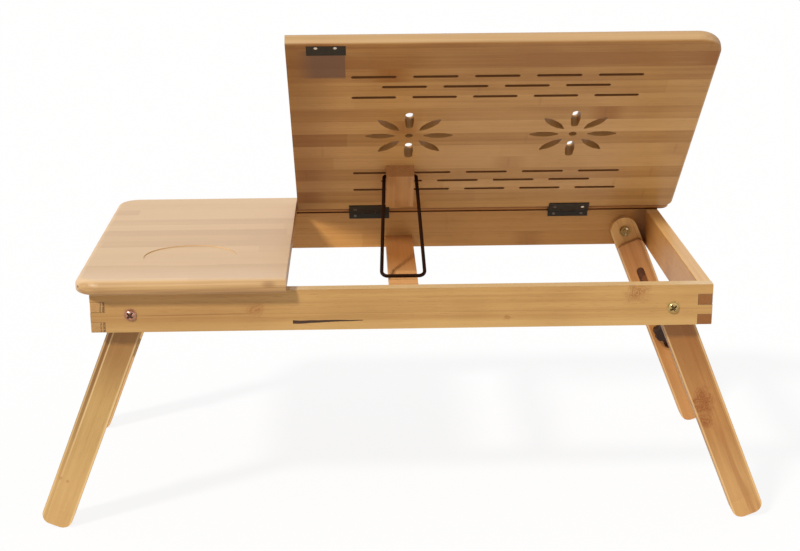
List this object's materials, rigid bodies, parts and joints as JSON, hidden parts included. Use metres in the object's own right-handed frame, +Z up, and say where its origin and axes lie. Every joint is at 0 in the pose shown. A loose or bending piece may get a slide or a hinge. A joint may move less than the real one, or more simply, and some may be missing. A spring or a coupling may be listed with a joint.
{
  "type": "folding lap desk",
  "caption": "Bamboo lap desk with a tilting slotted board on a wire prop, a fixed side board over a drawer, and folding legs that extend.",
  "frame": {"origin": "centre of the footprint on the floor", "axes": "+X from the fixed board to the tilting board, +Y from the front rail to the hinge side, +Z up"},
  "size_m": [0.5784, 0.3, 0.3823],
  "materials": {
    "bamboo_top": "satin",
    "bamboo_lid": "satin",
    "bamboo_rail": "satin",
    "bamboo_block": "satin",
    "bamboo_leg": "satin",
    "bamboo_drawer": "satin",
    "black_steel": "satin",
    "plated_steel": "polished",
    "black_plastic": "matte"
  },
  "bodies": {
    "frame": {"front_rail": "bamboo_rail", "back_rail": "bamboo_rail", "left_rail": "bamboo_rail", "right_rail": "bamboo_rail", "fixed_top": "bamboo_top", "rear_strip": "bamboo_top", "notched_bar": "bamboo_block", "hinge_rail_leaf_l": "black_steel", "hinge_rail_leaf_r": "black_steel", "pivot_bolt_fl": "plated_steel", "pivot_bolt_fr": "plated_steel", "pivot_bolt_bl": "plated_steel", "pivot_bolt_br": "plated_steel", "runner_f": "bamboo_drawer", "runner_b": "bamboo_drawer"},
    "lid": {"tilt_top": "bamboo_lid", "prop_block": "bamboo_block", "catch_plate": "black_steel", "hinge_lid_leaf_l": "black_steel", "hinge_lid_leaf_r": "black_steel"},
    "prop": {"wire_bail": "black_steel"},
    "drawer": {"drawer_face": "bamboo_drawer", "drawer_side_f": "bamboo_drawer", "drawer_side_b": "bamboo_drawer", "drawer_end": "bamboo_drawer", "drawer_bottom": "bamboo_drawer"},
    "leg_front_left": {"leg_fixed_fl": "bamboo_leg", "lock_stud_fl": "plated_steel"},
    "knob_front_left": {"lock_knob_fl": "black_plastic"},
    "foot_front_left": {"leg_slide_fl": "bamboo_leg"},
    "leg_front_right": {"leg_fixed_fr": "bamboo_leg", "lock_stud_fr": "plated_steel"},
    "knob_front_right": {"lock_knob_fr": "black_plastic"},
    "foot_front_right": {"leg_slide_fr": "bamboo_leg"},
    "leg_back_left": {"leg_fixed_bl": "bamboo_leg", "lock_stud_bl": "plated_steel"},
    "knob_back_left": {"lock_knob_bl": "black_plastic"},
    "foot_back_left": {"leg_slide_bl": "bamboo_leg"},
    "leg_back_right": {"leg_fixed_br": "bamboo_leg", "lock_stud_br": "plated_steel"},
    "knob_back_right": {"lock_knob_br": "black_plastic"},
    "foot_back_right": {"leg_slide_br": "bamboo_leg"}
  },
  "joints": [
    {"name": "lid_tilt", "type": "hinge", "parent": "frame", "child": "lid", "pos_m": [0, 0.1258, 0.19933], "axis": [-1, 0, 0], "range_deg": [-40.2, 8.8]},
    {"name": "prop_swing", "type": "hinge", "parent": "lid", "child": "prop", "pos_m": [0.0037, 0.06237, 0.24403], "axis": [1, 0, 0], "range_deg": [-69.8, 15.6]},
    {"name": "fold_front_left", "type": "hinge", "parent": "frame", "child": "leg_front_left", "pos_m": [-0.2085, -0.1236, 0.17973], "axis": [0, 1, 0], "range_deg": [-112, 0]},
    {"name": "extend_front_left", "type": "slide", "parent": "leg_front_left", "child": "foot_front_left", "axis": [-0.3746, 0, -0.9272], "range_m": [-0.004, 0.06]},
    {"name": "knob_turn_front_left", "type": "hinge", "parent": "leg_front_left", "child": "knob_front_left", "pos_m": [-0.24559, -0.106, 0.08794], "axis": [0, 1, 0], "range_deg": [0, 360]},
    {"name": "fold_front_right", "type": "hinge", "parent": "frame", "child": "leg_front_right", "pos_m": [0.2085, -0.1236, 0.17973], "axis": [0, -1, 0], "range_deg": [-112, 0]},
    {"name": "extend_front_right", "type": "slide", "parent": "leg_front_right", "child": "foot_front_right", "axis": [0.3746, 0, -0.9272], "range_m": [-0.004, 0.06]},
    {"name": "knob_turn_front_right", "type": "hinge", "parent": "leg_front_right", "child": "knob_front_right", "pos_m": [0.24559, -0.106, 0.08794], "axis": [0, 1, 0], "range_deg": [0, 360]},
    {"name": "fold_back_left", "type": "hinge", "parent": "frame", "child": "leg_back_left", "pos_m": [-0.2085, 0.1236, 0.17973], "axis": [0, 1, 0], "range_deg": [-112, 0]},
    {"name": "extend_back_left", "type": "slide", "parent": "leg_back_left", "child": "foot_back_left", "axis": [-0.3746, 0, -0.9272], "range_m": [-0.004, 0.06]},
    {"name": "knob_turn_back_left", "type": "hinge", "parent": "leg_back_left", "child": "knob_back_left", "pos_m": [-0.24559, 0.106, 0.08794], "axis": [0, -1, 0], "range_deg": [0, 360]},
    {"name": "fold_back_right", "type": "hinge", "parent": "frame", "child": "leg_back_right", "pos_m": [0.2085, 0.1236, 0.17973], "axis": [0, -1, 0], "range_deg": [-112, 0]},
    {"name": "extend_back_right", "type": "slide", "parent": "leg_back_right", "child": "foot_back_right", "axis": [0.3746, 0, -0.9272], "range_m": [-0.004, 0.06]},
    {"name": "knob_turn_back_right", "type": "hinge", "parent": "leg_back_right", "child": "knob_back_right", "pos_m": [0.24559, 0.106, 0.08794], "axis": [0, -1, 0], "range_deg": [0, 360]},
    {"name": "drawer_pull", "type": "slide", "parent": "frame", "child": "drawer", "axis": [-1, 0, 0], "range_m": [0, 0.11]}
  ],
  "couplings": [
    {"joint": "prop_swing", "follows": "lid_tilt", "ratio": 1.725}
  ]
}
